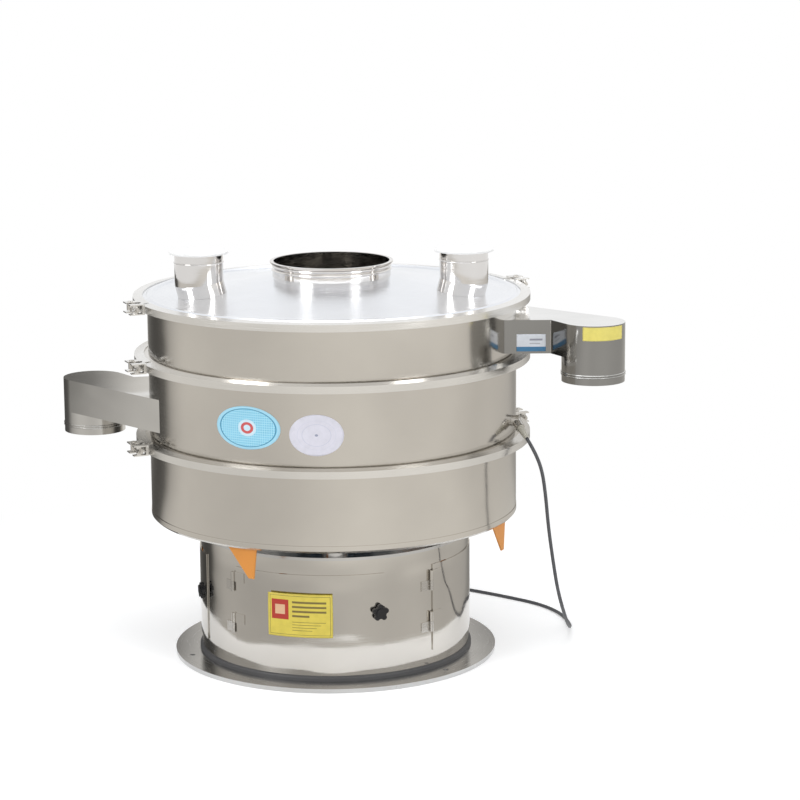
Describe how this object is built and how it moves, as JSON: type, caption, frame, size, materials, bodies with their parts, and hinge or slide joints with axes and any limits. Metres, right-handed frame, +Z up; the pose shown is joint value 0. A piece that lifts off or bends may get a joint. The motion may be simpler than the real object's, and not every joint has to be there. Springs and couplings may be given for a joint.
{
  "type": "vibrating sieve",
  "caption": "Round rotary vibrating sieve: clamped stack of frames with a crowned lid and side outlets, on a spring-borne deck over a drum base with service doors.",
  "frame": {"origin": "centre of the foot ring on the floor", "axes": "+Z up; the front service door faces -Y; the oversize outlet is towards +X and the fines outlet towards -X"},
  "size_m": [1.525, 1.1749, 1.1273],
  "materials": {
    "stainless": "polished",
    "black_rubber": "matte",
    "white_silicone": "matte",
    "spring_steel": "satin",
    "black_plastic": "gloss",
    "motor_paint": "satin",
    "carbon_steel": "satin",
    "plated_steel": "satin",
    "aluminium": "satin",
    "armoured_lead": "matte",
    "orange_paint": "satin",
    "white_plastic": "satin",
    "cable_grey": "matte",
    "plug_metal": "satin"
  },
  "bodies": {
    "base": {"foot_ring": "stainless", "base_drum": "stainless", "foot_bead": "black_rubber", "spring_plate": "stainless", "door_hinges": "stainless", "motor_cable_gland": "black_plastic", "support_springs": "spring_steel", "signal_cable": "cable_grey", "cable_coil": "cable_grey", "cable_plug": "plug_metal"},
    "deck": {"skirt_rim": "stainless", "motor_frame": "stainless", "middle_frame": "stainless", "top_frame": "stainless", "fines_outlet": "stainless", "oversize_outlet": "stainless", "mesh_frame": "stainless", "mesh_cloth": "stainless", "dome_plate": "stainless", "lid": "stainless", "inlet_neck": "stainless", "port_left": "stainless", "port_right": "stainless", "clamp_pins": "stainless", "lid_band_rear": "stainless", "lid_band_front": "stainless", "mesh_band_rear": "stainless", "mesh_band_front": "stainless", "lower_band_rear": "stainless", "lower_band_front": "stainless", "cable_socket": "stainless", "cable_gland": "black_rubber", "flat_gaskets": "white_silicone", "mesh_gasket": "white_silicone", "motor_housing": "motor_paint", "motor_plate": "carbon_steel", "motor_bolts": "plated_steel", "resonance_ring": "aluminium", "transducer": "aluminium", "transducer_lead": "armoured_lead", "transport_brackets": "orange_paint"},
    "rotor": {"motor_shaft": "plated_steel", "upper_weight": "carbon_steel"},
    "door_1": {"door_1": "stainless"},
    "door_2": {"door_2": "stainless"},
    "door_3": {"door_3": "stainless"},
    "door_4": {"door_4": "stainless"},
    "door_knob_1": {"door_knob_1": "black_plastic"},
    "door_knob_2": {"door_knob_2": "black_plastic"},
    "door_knob_3": {"door_knob_3": "black_plastic"},
    "door_knob_4": {"door_knob_4": "black_plastic"},
    "lid_clamp_left": {"lid_clamp_left": "stainless"},
    "lid_clamp_right": {"lid_clamp_right": "stainless"},
    "mesh_clamp_left": {"mesh_clamp_left": "stainless"},
    "mesh_clamp_right": {"mesh_clamp_right": "stainless"},
    "lower_clamp_left": {"lower_clamp_left": "stainless"},
    "lower_clamp_right": {"lower_clamp_right": "stainless"},
    "port_cap_left": {"port_cap_left": "white_plastic"},
    "port_cap_right": {"port_cap_right": "white_plastic"},
    "lower_weight": {"lower_weight": "carbon_steel"}
  },
  "joints": [
    {"name": "deck_bounce", "type": "slide", "parent": "base", "child": "deck", "axis": [0, 0, 1], "range_m": [-0.006, 0.006], "stiffness_N_per_m": 100000, "springref_m": 0.02728, "deforming": ["support_springs", "signal_cable"]},
    {"name": "rotor_spin", "type": "hinge", "parent": "deck", "child": "rotor", "pos_m": [0, 0, 0.3], "axis": [0, 0, 1], "continuous": true},
    {"name": "weight_setting", "type": "hinge", "parent": "rotor", "child": "lower_weight", "pos_m": [0, 0, 0.13], "axis": [0, 0, 1], "range_deg": [-90, 90]},
    {"name": "door_1_swing", "type": "hinge", "parent": "base", "child": "door_1", "pos_m": [-0.27373, -0.25705, 0.181], "axis": [0, 0, -1], "range_deg": [0, 100]},
    {"name": "door_knob_1_turn", "type": "hinge", "parent": "door_1", "child": "door_knob_1", "pos_m": [0.11743, -0.3614, 0.196], "axis": [0.309, -0.9511, 0], "continuous": true},
    {"name": "door_2_swing", "type": "hinge", "parent": "base", "child": "door_2", "pos_m": [0.25705, -0.27373, 0.181], "axis": [0, 0, -1], "range_deg": [0, 100]},
    {"name": "door_knob_2_turn", "type": "hinge", "parent": "door_2", "child": "door_knob_2", "pos_m": [0.3614, 0.11743, 0.196], "axis": [0.9511, 0.309, 0], "continuous": true},
    {"name": "door_3_swing", "type": "hinge", "parent": "base", "child": "door_3", "pos_m": [0.27373, 0.25705, 0.181], "axis": [0, 0, -1], "range_deg": [0, 100]},
    {"name": "door_knob_3_turn", "type": "hinge", "parent": "door_3", "child": "door_knob_3", "pos_m": [-0.11743, 0.3614, 0.196], "axis": [-0.309, 0.9511, 0], "continuous": true},
    {"name": "door_4_swing", "type": "hinge", "parent": "base", "child": "door_4", "pos_m": [-0.25705, 0.27373, 0.181], "axis": [0, 0, -1], "range_deg": [0, 100]},
    {"name": "door_knob_4_turn", "type": "hinge", "parent": "door_4", "child": "door_knob_4", "pos_m": [-0.3614, -0.11743, 0.196], "axis": [-0.9511, -0.309, 0], "continuous": true},
    {"name": "lid_clamp_right_swing", "type": "hinge", "parent": "deck", "child": "lid_clamp_right", "pos_m": [0.51511, 0.21622, 0.9875], "axis": [0, 0, 1], "range_deg": [0, 100]},
    {"name": "lid_clamp_left_swing", "type": "hinge", "parent": "deck", "child": "lid_clamp_left", "pos_m": [-0.53358, -0.16548, 0.9875], "axis": [0, 0, -1], "range_deg": [0, 100]},
    {"name": "mesh_clamp_right_swing", "type": "hinge", "parent": "deck", "child": "mesh_clamp_right", "pos_m": [0.51511, 0.21622, 0.829], "axis": [0, 0, 1], "range_deg": [0, 100]},
    {"name": "mesh_clamp_left_swing", "type": "hinge", "parent": "deck", "child": "mesh_clamp_left", "pos_m": [-0.53358, -0.16548, 0.829], "axis": [0, 0, -1], "range_deg": [0, 100]},
    {"name": "lower_clamp_right_swing", "type": "hinge", "parent": "deck", "child": "lower_clamp_right", "pos_m": [0.51511, 0.21622, 0.608], "axis": [0, 0, 1], "range_deg": [0, 100]},
    {"name": "lower_clamp_left_swing", "type": "hinge", "parent": "deck", "child": "lower_clamp_left", "pos_m": [-0.53358, -0.16548, 0.608], "axis": [0, 0, -1], "range_deg": [0, 100]},
    {"name": "port_cap_left_lift", "type": "slide", "parent": "deck", "child": "port_cap_left", "axis": [0, 0, 1], "range_m": [0, 0.06]},
    {"name": "port_cap_right_lift", "type": "slide", "parent": "deck", "child": "port_cap_right", "axis": [0, 0, 1], "range_m": [0, 0.06]}
  ]
}
